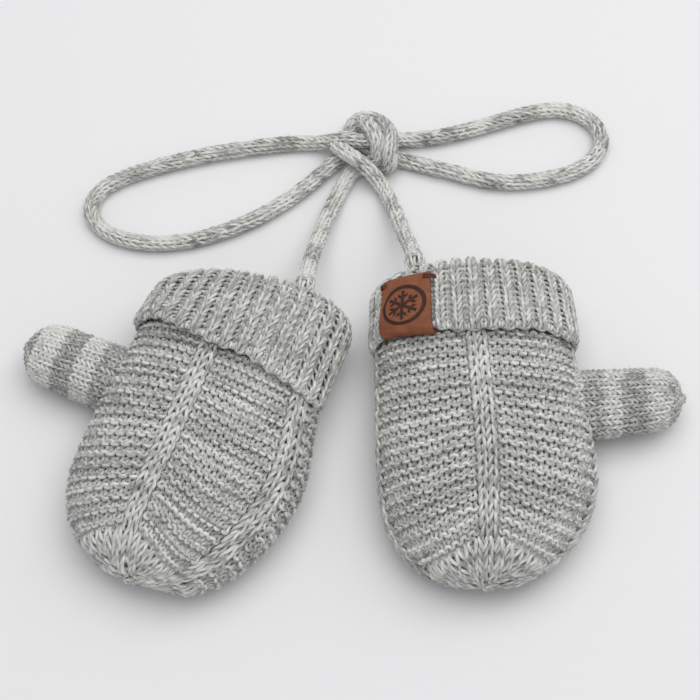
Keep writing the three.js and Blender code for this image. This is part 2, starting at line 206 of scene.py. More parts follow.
# Of each mitten:
#   x, y, turn: middle of its folded edge, and degrees about +Z
#   sway: how far the middle of its hand swings out
#   roll, rib_rise: how many stitches it has rolled over, and how many more its right rib has
#   hem_rise: how far its hem rides up at one place
#   uneven: how far its fold climbs towards the right, its hem drops there, and its hem drops all round
#   bulge: how far its right side stands out, and from what reach to what reach
#   thumb_tilt: how far its thumb leans towards the cuff for each millimetre out
MITTENS = {
    "right": dict(
        side=1, x=48.2, y=66.0, turn=2.2, sway=1.2, roll=0.0, rib_rise=0.0, hem_rise=2.6,
        uneven=(0.0, 0.0, 0.0), bulge=(2.5, 50, 128), thumb_tilt=0.035, seed=11,
    ),
    "left": dict(
        side=-1, x=-35.8, y=58.9, turn=-22.4, sway=1.6, roll=1.5, rib_rise=2.0, hem_rise=0.8,
        uneven=(7.0, 4.0, 3.5), bulge=(5.0, 26, 118), thumb_tilt=0.0, seed=23,
    ),
}


def placed(points, mitten):
    """Points in a mitten's own frame, whose origin is the middle of its fold, in the scene's frame."""
    turn = math.radians(mitten["turn"])
    x, y, z = np.moveaxis(np.asarray(points, float), -1, 0)
    return np.stack(
        [
            mitten["x"] + math.cos(turn) * x - math.sin(turn) * y,
            mitten["y"] + math.sin(turn) * x + math.cos(turn) * y,
            z,
        ],
        axis=-1,
    )


def turned(vector, mitten):
    """A direction in a mitten's own frame, in the scene's frame."""
    return placed(vector, dict(mitten, x=0.0, y=0.0))


def closing(t, powers):
    """From 1 down to 0 over a rounded tip, as t goes from 0 to 1."""
    return (1 - t ** powers[0]) ** powers[1]


def section_point(half, top, bottom, middle, dip, angle):
    """A section that is rounded above and flat below, at angles from +X."""
    power = np.where(np.sin(angle) > 0, 2 / ROUND_ABOVE, 2 / ROUND_BELOW)
    across = signed_power(np.cos(angle), power)
    up = signed_power(np.sin(angle), power)
    z = middle + up * np.where(up > 0, top - middle, middle - bottom + dip)
    return half * across, np.maximum(z, bottom)


def hand_point(reach, angle, inset, mitten):
    """A point of the hand, `inset` inside the CAD's face."""
    opened = smooth(NECK_END, HAND_START, reach)
    swell = smooth(HAND_START, SWELL_END, reach)
    half = mix(NECK_HALF_WIDTH, mix(HEEL_HALF_WIDTH, HAND_HALF_WIDTH, swell), opened) - inset
    top = mix(NECK_TOP, mix(HEEL_TOP, HAND_TOP, swell), opened) - inset
    bottom = mix(NECK_BOTTOM, 0, opened) + inset
    middle = mix(CUFF_MIDDLE, HAND_MIDDLE, opened)
    t = np.clip((reach - TIP_START) / (HAND_LENGTH - inset - TIP_START), 0, 1)
    half = half * closing(t, TIP_SIDES)
    top = TIP_HEIGHT + (top - TIP_HEIGHT) * closing(t, TIP_CROWN)
    bottom = TIP_HEIGHT - (TIP_HEIGHT - bottom) * closing(t, TIP_PALM)
    middle = mix(middle, TIP_HEIGHT, smooth(0, 1, t))
    x, z = section_point(half, top, bottom, middle, PALM_DIP * (1 - t**2), angle)
    along = np.clip((reach - NECK_END) / (HAND_LENGTH - NECK_END), 0, 1)
    x = x + mitten["sway"] * np.sin(np.pi * along) ** 2
    return np.stack([x, -reach - bow(reach, x), z], axis=-1)


def bow(reach, x):
    """The folded edge falls back at its two sides."""
    return FOLD_BOW * np.maximum(0, 1 - reach / CUFF_HEM) * (x / CUFF_HALF_WIDTH) ** 2


def cuff_point(reach, inset, angle):
    """A point of the cuff, `inset` inside the CAD's face."""
    flare = CUFF_FLARE * smooth(10, CUFF_HEM, reach)
    half, top = CUFF_HALF_WIDTH + flare - inset, CUFF_TOP + flare - inset
    x, z = section_point(half, top, inset, CUFF_MIDDLE, PALM_DIP, angle)
    return np.stack([x, -reach - bow(reach, x), z], axis=-1)


def thumb_point(out, scale, angle, inset, mitten):
    """A point of the thumb's section at a distance out from the hand's side."""
    swell = THUMB_ROOT_SWELL - THUMB_NARROWS * smooth(0.0, 0.75, out / THUMB_LENGTH)
    across = (THUMB_HALF_WIDTH * swell - inset) * scale * signed_power(np.cos(angle), THUMB_ROUNDNESS)
    up = (THUMB_HALF_HEIGHT * swell - inset) * scale * signed_power(np.sin(angle), THUMB_ROUNDNESS)
    reach = np.array(THUMB_AT)
    root = hand_point(reach, np.array(0.0), 0, mitten)[0] - mitten["sway"] * (1 - mitten["side"])
    x = mitten["side"] * (root + out)
    z = np.maximum(THUMB_HEIGHT + up, inset)
    y = across - THUMB_AT + mitten["thumb_tilt"] * np.maximum(out, 0)
    return np.stack(np.broadcast_arrays(x, y, z), axis=-1)


def even_angles(points_of, columns, stitches, arcs=2):
    """Angles round a ring at which stitch positions fall. Each of its arcs has as many stitches, all
    of equal length."""
    angles = np.zeros(len(columns))
    count = stitches / arcs
    for k in range(arcs):
        dense = np.linspace(TAU * k / arcs, TAU * (k + 1) / arcs, 200)
        along = run_along(points_of(dense))
        inside = (columns >= k * count) & (columns < (k + 1) * count)
        share = (columns[inside] - k * count) / count
        angles[inside] = np.interp(share * along[-1], along, dense)
    return angles


def ring_grid(rings, stitches, arcs=2):
    """A grid with one row for each ring, given as a function of angles."""
    columns = grid_columns(stitches)
    return np.stack([ring(even_angles(ring, columns, stitches, arcs)) for ring in rings])


def mean_run(lines):
    """How far along their lines the points lie, as a mean of several lines."""
    return np.mean([run_along(line) for line in lines], axis=0)


def waves(rng, turn, row, count, around, along):
    """A sum of low waves over a fabric, and the phases of the last. `turn` is a share of its round."""
    total = np.zeros_like(turn)
    for _ in range(count):
        times, run, phase = rng.integers(*around), rng.uniform(*along), rng.uniform(0, TAU, 2)
        total += np.cos(TAU * times * turn + phase[0]) * np.cos(run * row + phase[1])
    return total, phase


GRID_PER_ROW, GRID_STEP = 4, 0.25
CUFF_RIPPLE, HAND_RIPPLE, THUMB_RIPPLE = 0.22, 0.25, 0.3     # how far each fabric waves in and out
LINE_STEP = 0.6            # between the points of a smooth line


def grid_columns(stitches):
    return np.arange(0, stitches, GRID_STEP)


class Fabric:
    """A knitted surface: a grid of points over rounds of stitches, closed round its stitches."""

    def __init__(self, grid, stitches, last_row):
        self.grid, self.stitches, self.last_row = grid, stitches, last_row
        around = np.roll(grid, -1, axis=1) - np.roll(grid, 1, axis=1)
        along = np.gradient(grid, axis=0)
        self.normal = unit(np.cross(around, along))
        centre = grid.mean(axis=1, keepdims=True)
        middle = len(grid) // 3
        if ((grid - centre)[middle] * self.normal[middle]).sum() < 0:
            self.normal = -self.normal

    def places(self):
        """The stitch and the row that each point of the grid lies at."""
        return np.meshgrid(grid_columns(self.stitches), np.linspace(0, self.last_row, len(self.grid)))

    def sample(self, table, stitch, row):
        """A value between those of a table laid over the grid."""
        rows, columns = table.shape[:2]
        v = np.clip(row / self.last_row * (rows - 1), 0, rows - 1.001)
        u = np.mod(stitch / self.stitches * columns, columns)
        i, j = v.astype(int), u.astype(int) % columns
        fv, fu = (v - i)[..., None], (u - np.floor(u))[..., None]
        j2 = (j + 1) % columns
        low = mix(table[i, j], table[i, j2], fu)
        return mix(low, mix(table[i + 1, j], table[i + 1, j2], fu), fv)

    def at(self, stitch, row, lift):
        """Points at a height over the surface, and its normals there."""
        normal = unit(self.sample(self.normal, stitch, row))
        return self.sample(self.grid, stitch, row) + normal * lift[..., None], normal


# ---- meshes ----


def piece(name, mesh, material):
    obj = bpy.data.objects.new(name, mesh)
    bpy.context.scene.collection.objects.link(obj)
    mesh.materials.append(material)
    return obj


def ring_quads(rings, sides, closed):
    """Quads between rings of points, and the ring and side of every corner."""
    last = rings if closed else rings - 1
    i, k = np.meshgrid(np.arange(last), np.arange(sides), indexing="ij")
    i, k = i.ravel(), k.ravel()
    corner_ring = np.stack([i, i + 1, i + 1, i], axis=1)
    corner_side = np.stack([k, k, k + 1, k + 1], axis=1)
    quads = (corner_ring % rings) * sides + corner_side % sides
    return quads, corner_ring, corner_side


YARN_SIDES = 6
PLY_PITCH = 11.0     # one turn of the two plies
PLY_RELIEF = 0.13    # how oval they make the yarn
YARN_UV = 0.01       # UV to each millimetre along a yarn
TABLE_GAP = 0.05     # lowest that yarn comes to the table
FUZZ = 0.28          # fibres to each point of a knitted yarn
FIBRE_SIDES = 3
FIBRE_RADII = (0.07, 0.05, 0.012)
FIBRE_LENGTHS = (0.5, 1.5)
FIBRE_LEANS, FIBRE_DRIFTS = 1.1, 0.55
FIBRE_PALER = 0.25
fibre_random = np.random.default_rng(7)


class Build:
    """Quads of one piece, with where each corner lies on its yarn. `spun` is the yarn laid so far."""

    def __init__(self, tone_of=None, spun=0.0):
        self.points, self.quads, self.yarn, self.tone, self.count = [], [], [], [], 0
        self.tone_of, self.spun = tone_of, spun

    def add(self, points, quads, yarn, tone):
        self.points.append(points)
        self.quads.append(quads + self.count)
        self.yarn.append(yarn)
        self.tone.append(tone)
        self.count += len(points)

    def mesh(self, name, material, slot):
        mesh = bpy.data.meshes.new(name)
        points, quads = np.concatenate(self.points) * MM, np.concatenate(self.quads)
        mesh.from_pydata(points, [], quads, shade_flat=False)
        layer = mesh.uv_layers.new(name="yarn")
        layer.data.foreach_set("uv", np.concatenate(self.yarn).ravel())
        tone = mesh.attributes.new("tone", "FLOAT", "POINT")
        tone.data.foreach_set("value", np.concatenate(self.tone))
        mesh.validate()
        return piece(name, mesh, material)

    def lay(self, line, guide, radius, sides=YARN_SIDES, closed=False, fuzz=0.0):
        """A tube of two-ply yarn along `line`. `guide` is the way up at each point."""
        if closed:
            tangent = np.roll(line, -1, axis=0) - np.roll(line, 1, axis=0)
            steps = np.linalg.norm(np.roll(line, -1, axis=0) - line, axis=1)
        else:
            tangent = np.gradient(line, axis=0)
            steps = np.linalg.norm(np.diff(line, axis=0), axis=1)
        tangent = unit(tangent)
        side = unit(np.cross(tangent, guide))
        up = np.cross(side, tangent)
        along = self.spun + np.concatenate([[0], np.cumsum(steps)])
        self.spun = along[-1]
        here = along[: len(line)]
        angle = TAU * np.arange(sides)[None] / sides
        ply = TAU * here[:, None] / PLY_PITCH
        ring = np.broadcast_to(radius, (len(line),))[:, None] * (1 + PLY_RELIEF * np.cos(2 * (angle + ply)))
        points = line[:, None] + ring[..., None] * circle(angle, side[:, None], up[:, None])
        points = points.reshape(-1, 3)
        points[:, 2] = np.maximum(points[:, 2], TABLE_GAP)
        quads, corner_ring, corner_side = ring_quads(len(line), sides, closed)
        length = along[np.minimum(corner_ring, len(along) - 1)]
        yarn = np.stack([corner_side / sides + length / PLY_PITCH, length * YARN_UV], axis=-1)
        tone = self.tone_of(here)
        self.add(points, quads, yarn.reshape(-1, 2), np.repeat(tone, sides))
        self.grow_fibres(line, up, side, float(np.mean(radius)), int(len(line) * fuzz), tone)

    def grow_fibres(self, line, up, side, radius, count, tone):
        """Short loose fibres that stand out from a yarn."""
        if not count:
            return
        at = fibre_random.integers(0, len(line), count)
        out = circle(fibre_random.normal(0, FIBRE_LEANS, count), up[at], side[at])
        drift = fibre_random.normal(0, FIBRE_DRIFTS, (2, count, 3))
        length = fibre_random.uniform(*FIBRE_LENGTHS, (count, 1))
        base = line[at] + out * radius * 0.9
        middle = base + length * (0.55 * out + 0.5 * drift[0])
        tip = middle + length * (0.35 * out + 0.5 * drift[0] + 0.4 * drift[1])
        across = unit(np.cross(tip - base, (0.3, 0.5, 0.81)))
        other = unit(np.cross(tip - base, across))
        angle = TAU * np.arange(FIBRE_SIDES) / FIBRE_SIDES
        ring = circle(angle, across[:, None], other[:, None])
        rings = [p[:, None] + r * ring for p, r in zip((base, middle, tip), FIBRE_RADII)]
        points = np.stack(rings, axis=1).reshape(-1, 3)
        points[:, 2] = np.maximum(points[:, 2], TABLE_GAP)
        quads, _, _ = ring_quads(3, FIBRE_SIDES, False)
        per_fibre = 3 * FIBRE_SIDES
        every = (quads[None] + per_fibre * np.arange(count)[:, None, None]).reshape(-1, 4)
        yarn = np.repeat(np.stack([at * 0.37, at * YARN_UV], axis=-1), quads.size, axis=0)
        self.add(points, every, yarn, np.repeat(tone[at] + FIBRE_PALER, per_fibre))


FLECK = 10.0               # length of its shortest light and dark stretches
STRETCHES = 400
STRETCH_VARIES = 0.12


def tone_maker(seed, shortest=90, longest=520, level=0.5, swing=0.18, flecks=0.14, soft=28):
    """Light and dark stretches of the yarn in turn: a smooth wander from 0, dark, to 1, light."""
    rng = np.random.default_rng(seed)
    knots = np.cumsum(rng.uniform(shortest, longest, STRETCHES))
    levels = level + STRETCH_VARIES * rng.standard_normal(STRETCHES)
    levels[::2] += swing
    levels[1::2] -= swing
    short = rng.standard_normal(9000) * flecks

    def tone(length):
        index = np.clip(np.searchsorted(knots, length), 1, len(knots) - 1)
        edge = smooth(-soft, soft, length - knots[index - 1])
        slow = mix(levels[index - 1], levels[index], edge)
        return slow + np.interp(length / FLECK, np.arange(len(short)), short)

    return tone


# A stitch is: middle and half height in rounds, how far its legs lean, then its height off the
# surface as a constant, a part that is high at its head, and one that is high at both its ends.
STITCH_VARIES = (0.045, 0.045, 0.012, 0.11)    # the first four of these, from one stitch to the next
LEGS_MEET = 0.62           # where in its half turn a loop begins to join its neighbour
STITCH_POINTS = 12
SLUB_POINTS, SLUB = 40, 0.05


def stitch_rows(build, fabric, rounds, radius, seed):
    """Lays closed rounds of stitches. Each round is (row, edges, table of stitches)."""
    rng = np.random.default_rng(seed)
    t = np.linspace(-np.pi, np.pi, STITCH_POINTS, endpoint=False)[None]
    near = smooth(LEGS_MEET * np.pi, np.pi, np.abs(t))
    for row, edges, table in rounds:
        n = len(edges) - 1
        table = np.array(table, float)
        varied = [rng.normal(0, amount, n) for amount in STITCH_VARIES]
        varied[1] *= table[:, 1]
        table[:, :4] += np.stack(varied, axis=1)
        middle, height, lean, z0, z1, z2 = (table[:, k : k + 1] for k in range(6))
        y = middle + height * np.cos(t)
        z = z0 + z1 * np.cos(t) + z2 * np.cos(2 * t)
        for values, end in ((y, middle - height), (z, z0 - z1 + z2)):
            meet = np.where(t < 0, np.roll(end, 1, axis=0), np.roll(end, -1, axis=0))
            values += near * (0.5 * meet - 0.5 * end)
        width = np.diff(edges)[:, None]
        s = edges[:-1, None] + width * ((t + np.pi) / TAU + lean * np.sin(2 * t))
        line, guide = fabric.at(s.ravel(), row + y.ravel(), z.ravel())
        slubs = np.arange(0, len(line) + SLUB_POINTS, SLUB_POINTS)
        slub = np.interp(np.arange(len(line)), slubs, rng.standard_normal(len(slubs)))
        build.lay(line, guide, radius * (1 + SLUB * slub), closed=True, fuzz=FUZZ)


def closed_mesh(name, points, faces):
    """A closed body's mesh, its faces turned to point out."""
    mesh = bpy.data.meshes.new(name)
    mesh.from_pydata(points * MM, [], faces, shade_flat=False)
    body = bmesh.new()
    body.from_mesh(mesh)
    if body.calc_volume(signed=True) < 0:
        mesh.flip_normals()
    body.free()
    return mesh


SKIN_LOW = 0.3             # lowest that a skin's outer face comes to the table


def closed_skin(
    name, fabric, material, near, far, columns, rows, first=0, cap=True, bump=0.0, seed=0
):
    """A thin closed body between two depths under a fabric, from a first row to its last one. With a
    cap, its outer and inner faces close on a point each past the last row."""
    around = np.arange(columns) / columns * fabric.stitches
    stitch, row = np.meshgrid(around, np.linspace(first, fabric.last_row, rows))
    rough = bump * np.random.default_rng(seed).standard_normal(stitch.shape)
    rough = (rough + np.roll(rough, 1, 0) + np.roll(rough, 1, 1)) / 1.7
    outer, _ = fabric.at(stitch, row, rough - near)
    inner, _ = fabric.at(stitch, row, np.full(stitch.shape, -far))
    outer[..., 2] = np.maximum(outer[..., 2], SKIN_LOW)
    inner[..., 2] = np.maximum(inner[..., 2], 2 * SKIN_LOW)
    points = np.concatenate([outer, inner[::-1]]).reshape(-1, 3)
    quads, ring, _ = ring_quads(2 * rows, columns, True)
    faces = quads.tolist()
    if cap:
        faces = quads[ring[:, 0] != rows - 1].tolist()
        for edge, way in ((rows - 1, 1), (rows, -1)):
            rim = edge * columns + np.arange(columns)[::way]
            faces += [(a, len(points), b) for a, b in zip(rim.tolist(), np.roll(rim, -1).tolist())]
            points = np.vstack([points, points[rim].mean(axis=0)])
    return piece(name, closed_mesh(name, points, faces), material)


# ---- materials ----


def linear(hex_color):
    """sRGB hex to a linear colour."""
    channels = [int(hex_color[k : k + 2], 16) / 255 for k in (0, 2, 4)]
    return (*(c / 12.92 if c <= 0.04045 else ((c + 0.055) / 1.055) ** 2.4 for c in channels), 1.0)


class Nodes:
    """A material's node tree, with short calls."""

    def __init__(self, name):
        self.material = bpy.data.materials.new(name)
        self.material.use_nodes = True
        self.tree = self.material.node_tree
        self.shader = self.tree.nodes["Principled BSDF"]

    def node(self, kind, inputs=None, **settings):
        node = self.tree.nodes.new("ShaderNode" + kind)
        for key, value in settings.items():
            setattr(node, key, value)
        for key, value in (inputs or {}).items():
            if isinstance(value, bpy.types.NodeSocket):
                self.tree.links.new(value, node.inputs[key])
            else:
                node.inputs[key].default_value = value
        return node

    def math(self, operation, a, b=0.0, clamp=False):
        return self.node("Math", {0: a, 1: b}, operation=operation, use_clamp=clamp).outputs[0]

    def plus(self, a, b, clamp=False):
        return self.math("ADD", a, b, clamp)

    def times(self, a, b):
        return self.math("MULTIPLY", a, b)

    def swing(self, value, amount):
        """A value's swing about a half, widened."""
        return self.times(self.math("SUBTRACT", value, 0.5), amount)

    def place(self):
        return self.node("TexCoord").outputs["Object"]

    def yarn_place(self):
        """Where a point lies on its yarn: turns of the plies round it, and distance along it."""
        yarn = self.node("UVMap", uv_map="yarn").outputs["UV"]
        return self.node("SeparateXYZ", {0: yarn}).outputs

    def blend(self, factor, a, b):
        """A colour from a to b, each an sRGB hex or a socket."""
        a, b = (linear(c) if isinstance(c, str) else c for c in (a, b))
        return self.node("Mix", {0: factor, 6: a, 7: b}, data_type="RGBA").outputs[2]

    def noise(self, vector, scale, detail=2.0, roughness=0.5):
        return self.node(
            "TexNoise", {"Vector": vector, "Scale": scale, "Detail": detail, "Roughness": roughness}
        ).outputs["Fac"]

    def bump(self, height, strength, distance):
        return self.node(
            "Bump", {"Height": height, "Strength": strength, "Distance": distance}
        ).outputs["Normal"]

    def finish(self, color, normal=None, **sockets):
        """Links the colour and normal, and sets the shader's other sockets by name."""
        self.tree.links.new(color, self.shader.inputs["Base Color"])
        if normal:
            self.tree.links.new(normal, self.shader.inputs["Normal"])
        for name, value in sockets.items():
            socket = name.replace("_", " ").title().replace("Ior", "IOR")
            self.shader.inputs[socket].default_value = value
        return self.material


def marled_yarn():
    """Light and grey plies twisted together, in lighter and darker stretches."""
    n = Nodes("marled_yarn")
    split = n.yarn_place()
    turn = n.times(split[0], TAU)
    along = n.times(split[1], 22.0)
    around = n.node("CombineXYZ", {0: n.math("SINE", turn), 1: n.math("COSINE", turn), 2: along})
    fibres = n.noise(around.outputs[0], 2.6, 3.0, 0.6)
    slubs = n.noise(around.outputs[0], 0.35, 1.0)
    tone = n.node("Attribute", attribute_name="tone").outputs["Fac"]
    ply = n.times(n.math("SINE", n.times(turn, 2.0)), 0.27)
    along_yarn = n.plus(ply, n.swing(tone, 0.62))
    within_yarn = n.plus(n.swing(fibres, 0.9), n.swing(slubs, 0.3))
    factor = n.plus(n.plus(along_yarn, within_yarn), 0.55, clamp=True)
    color = n.blend(factor, "858582", "e6e6e2")
    plies = n.math("COSINE", n.times(turn, 4.0))
    height = n.plus(n.times(plies, 0.3), fibres)
    return n.finish(
        color, n.bump(height, 0.5, 0.00022),
        roughness=0.95, sheen_weight=0.2, sheen_roughness=0.6, specular_ior_level=0.2,
    )


def wrong_side():
    """The inside of the knitted fabric, seen between its loops."""
    n = Nodes("inside_of_knit")
    place = n.place()
    coarse = n.noise(place, 260.0, 3.0, 0.6)
    fine = n.noise(place, 1400.0, 2.0)
    factor = n.plus(n.times(coarse, 0.8), n.times(fine, 0.3), clamp=True)
    color = n.blend(factor, "8a8a86", "b2b2ae")
    return n.finish(color, n.bump(fine, 0.8, 0.0006), roughness=1.0, specular_ior_level=0.15)


def fleece():
    """Off-white fleece with a short curled pile."""
    n = Nodes("fleece")
    place = n.place()
    curls = n.node("TexVoronoi", {"Vector": place, "Scale": 620.0}).outputs["Distance"]
    fluff = n.noise(place, 1900.0, 4.0, 0.7)
    patches = n.noise(place, 90.0, 2.0)
    factor = n.plus(n.times(patches, 0.7), n.times(curls, 0.5), clamp=True)
    color = n.blend(factor, "e4e3df", "c6c5c1")
    height = n.plus(curls, fluff)
    return n.finish(
        color, n.bump(height, 0.9, 0.0007),
        roughness=1.0, sheen_weight=0.5, sheen_roughness=0.5, specular_ior_level=0.1,
    )


def oiled_leather():
    """Brown leather, darker where it is pressed in and along its burnished edges."""
    n = Nodes("leather")
    place = n.place()
    split = n.yarn_place()
    mark = n.node("Attribute", attribute_name="tone").outputs["Fac"]
    cells = n.node("TexVoronoi", {"Vector": place, "Scale": 1500.0}, feature="DISTANCE_TO_EDGE")
    pores = n.math("MINIMUM", n.times(cells.outputs["Distance"], 9.0), 1.0)
    fine = n.noise(place, 3600.0, 3.0, 0.6)
    clouds = n.noise(place, 210.0, 4.0, 0.6)
    pale = n.plus(n.times(clouds, 1.5), n.times(fine, 0.6))
    hide = n.blend(n.math("SUBTRACT", pale, 0.55, clamp=True), "6b3b23", "a1613f")
    rim = n.math("SUBTRACT", 1.0, n.times(split[0], 7.0), clamp=True)
    edged = n.blend(n.times(rim, 0.75), hide, "4a271b")
    color = n.blend(n.times(mark, 0.92), edged, "2f1812")
    grain = n.plus(pores, n.times(fine, 0.5))
    return n.finish(color, n.bump(grain, 0.55, 0.00018), roughness=0.58, specular_ior_level=0.4)


def waxed_thread():
    """Brown thread, with painted shade in the grooves between its plies."""
    n = Nodes("sewing_thread")
    split = n.yarn_place()
    twist = n.math("SINE", n.times(split[0], 4 * TAU))
    # painted shade: the brown is darker where the ply bump sinks between the plies
    factor = n.plus(n.times(twist, 0.4), 0.5, clamp=True)
    color = n.blend(factor, "3b2017", "7a4a38")
    return n.finish(color, n.bump(twist, 0.6, 0.0001), roughness=0.7, specular_ior_level=0.35)


KNIT, BACKING, FLEECE = marled_yarn(), wrong_side(), fleece()
LEATHER, THREAD = oiled_leather(), waxed_thread()

# ---- the hand ----

HAND_STITCHES = 48
PANEL = 12                 # stitches from one rib's middle to the next
HAND_ROUND = 2.17          # reach of one round
FIRST_REACH = 20.0
GARTER_END = 118.0         # at the ribs above and below; the side panels run on further
HAND_INSET = 1.9           # middle of the yarn below the CAD's face
SIDE_DROOP = 8.0           # how much further toward the tip a round lies at the hand's sides
DROOP_GROWS = (46, 114)    # the reach over which it comes in
RIB_RISE_SPREAD = 6.5      # stitches over which a rib's rise fades
FIRST_ROUND = 2            # the rounds before it lie hidden in the cuff
TIP_COUNTS = (34, 30, 26, 22, 16, 10)
TIP_ROUNDS = len(TIP_COUNTS)
TIP_SHARE = 0.985          # the last round lies this far over the tip
HAND_YARN = 0.83           # radius of its yarn
GARTER_ROUNDS = round((GARTER_END - FIRST_REACH) / HAND_ROUND / 2) * 2


def hand_fabric(mitten):
    """The hand's surface: rounds of equal reach down to the tip, then of equal length over it."""
    full = HAND_LENGTH - HAND_INSET
    turn = np.linspace(0, 1, 600)
    reach = GARTER_END + (full - GARTER_END) * np.sin(turn * np.pi / 2)
    angles = np.linspace(0, TAU, 16, endpoint=False)
    along = mean_run([hand_point(reach, a, HAND_INSET, mitten) for a in angles])
    straight = np.linspace(FIRST_REACH, GARTER_END, GARTER_ROUNDS * GRID_PER_ROW + 1)
    over_tip = np.linspace(0, along[-1] * TIP_SHARE, TIP_ROUNDS * GRID_PER_ROW + 1)[1:]
    stations = np.concatenate([straight, np.interp(over_tip, along, reach)])
    columns = grid_columns(HAND_STITCHES)
    from_side = np.minimum(columns, HAND_STITCHES - columns)
    roll = mitten["roll"] + mitten["rib_rise"] * np.exp(-((from_side / RIB_RISE_SPREAD) ** 2))
    rolled = np.mod(columns + roll, HAND_STITCHES)
    from_rib = np.abs(np.mod(columns, 2 * PANEL) - PANEL) / PANEL
    sideways = np.sin(from_rib * np.pi / 2) ** 1.2
    grid = np.zeros((len(stations), len(columns), 3))
    for i, here in enumerate(stations):
        left = np.clip((full - here) / (full - GARTER_END), 0, 1)
        lower = here + SIDE_DROOP * smooth(*DROOP_GROWS, here) * left * sideways
        ring = lambda a: hand_point(here, a, HAND_INSET, mitten)
        grid[i] = hand_point(lower, even_angles(ring, rolled, HAND_STITCHES), HAND_INSET, mitten)
    rows = GARTER_ROUNDS + TIP_ROUNDS
    grid = shaped(Fabric(grid, HAND_STITCHES, rows), mitten)
    return Fabric(placed(grid, mitten), HAND_STITCHES, rows)


PANEL_PUFF, PANEL_SUNK, PANEL_DROOP = 1.3, 0.9, 1.8
CREASE_SPACING, CREASE_DEPTH = 4.6, (0.9, 2.2)
TIP_RIB_PROUD = 1.1


def groove(off, around, width):
    """1 in the middle of a line that runs down a fabric, 0 away from it, in a round of `around`."""
    gap = np.abs(np.mod(off + around / 2, around) - around / 2)
    return np.exp(-((gap / width) ** 2))


def shaped(fabric, mitten):
    """The hand's grid, once the panels between the ribs puff and droop and the tip puckers."""
    rng = np.random.default_rng(mitten["seed"])
    s, r = fabric.places()
    panel = np.sin(np.pi * np.mod(s, PANEL) / PANEL) ** 2
    down = smooth(8, 20, r) * (1 - smooth(GARTER_ROUNDS - 1, GARTER_ROUNDS + 4, r))
    uneven, _ = waves(rng, s / HAND_STITCHES, r, 5, (1, 6), (0.06, 0.2))
    lift = down * (PANEL_PUFF * panel**0.7 - PANEL_SUNK + HAND_RIPPLE * uneven)
    close = smooth(GARTER_ROUNDS - 1, GARTER_ROUNDS + TIP_ROUNDS - 1, r)
    creases = np.zeros_like(lift)
    for centre in np.arange(2.5, HAND_STITCHES, CREASE_SPACING) + rng.uniform(-0.8, 0.8, 10):
        creases -= rng.uniform(*CREASE_DEPTH) * groove(s - centre, HAND_STITCHES, 1.1)
    ribs = groove(s, PANEL, 1.5)
    lift += (creases + TIP_RIB_PROUD * ribs) * close
    grid = fabric.grid + fabric.normal * lift[..., None]
    amount, start, end = mitten["bulge"]
    place = np.clip((-grid[..., 1] - start) / (end - start), 0, 1)
    rightwards = smooth(0, 1.1, grid[..., 0] / HAND_HALF_WIDTH)
    grid[..., 0] += amount * np.sin(np.pi * place) ** 2 * rightwards
    grid[..., 1] -= PANEL_DROOP * panel * down
    grid[..., 2] = np.maximum(grid[..., 2], HAND_INSET)
    return grid


GARTER_HEIGHT, GARTER_LIFT = 0.82, 1.0
HAND_RIB = (0.6, 1.75, 0.26, 0.8, 0.0, -0.9)
HIDDEN_RIB = (0.0, 0.05, 0.0, -1.3, 0.0, 0.0)


def garter_rounds(first, end):
    """Rounds of the hand: knit and purl rounds in turn, with two-stitch ribs drawn up over both."""
    edges = np.arange(HAND_STITCHES + 1, dtype=float)
    rounds = []
    for number in range(first, end):
        lift, rib = (GARTER_LIFT, HAND_RIB) if number % 2 == 0 else (-GARTER_LIFT, HIDDEN_RIB)
        panel = (0.0, GARTER_HEIGHT, 0.18, 0.0, lift, 0.25)
        table = [rib if stitch % PANEL in (0, PANEL - 1) else panel for stitch in range(HAND_STITCHES)]
        rounds.append((number, edges, table))
    return rounds


def tip_rounds():
    """Long slack stitches over the tip, fewer and fewer of them."""
    rounds = []
    for k, count in enumerate(TIP_COUNTS):
        edges = np.linspace(0, HAND_STITCHES, count + 1)
        flat = 1 - 0.3 * k / TIP_ROUNDS
        rounds.append((GARTER_ROUNDS + k + 0.3, edges, [(0.0, 1.15, 0.25, 0.2, 0.0, -flat)] * count))
    return rounds


def knit_hand(name, mitten):
    """The hand's stitches in three pieces, over the thin fabric behind them."""
    fabric = hand_fabric(mitten)
    cut = FIRST_ROUND + (GARTER_ROUNDS - FIRST_ROUND) // 4 * 2
    parts = (
        ("heel", garter_rounds(FIRST_ROUND, cut)),
        ("knuckles", garter_rounds(cut, GARTER_ROUNDS)),
        ("tip", tip_rounds()),
    )
    build, pieces = Build(), []
    for part, rounds in parts:
        build = Build(tone_maker(mitten["seed"], 220, 1000, 0.52, 0.22), build.spun)
        stitch_rows(build, fabric, rounds, HAND_YARN, mitten["seed"] + len(pieces))
        pieces.append(build.mesh(f"{name}_hand_{part}", KNIT, "knit"))
    skin = f"{name}_hand_inside"
    pieces.append(closed_skin(skin, fabric, BACKING, near=1.1, far=2.4, columns=144, rows=60))
    for obj in pieces:
        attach(obj, f"{name}_hand")
    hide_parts(f"{name}_shell")


# ---- the cuff ----

CUFF_PAIRS = 29
CUFF_ROUND = 2.45
KNIT_SHARE = 0.60                  # of each pair's width
HEM_RISE_AT = math.radians(152)    # where round the cuff its hem rides up
HEM_RISE_SPREAD = 0.5
HEM_SCALLOP = 0.55
CUFF_LOW, THUMB_LOW = 1.5, 1.6     # lowest that the middle of their fabric comes
# Reach and inset of the cuff's fabric, from its hem over the fold to its lip inside.
CUFF_PROFILE = [
    (33.0, 2.5), (31.5, 2.05), (27, 2.0), (18, 2.0), (10, 2.1), (5.6, 2.8), (3.0, 4.3), (1.9, 6.3),
    (2.4, 8.4), (4.6, 9.8), (7.4, 10.2), (10.5, 10.3),
]


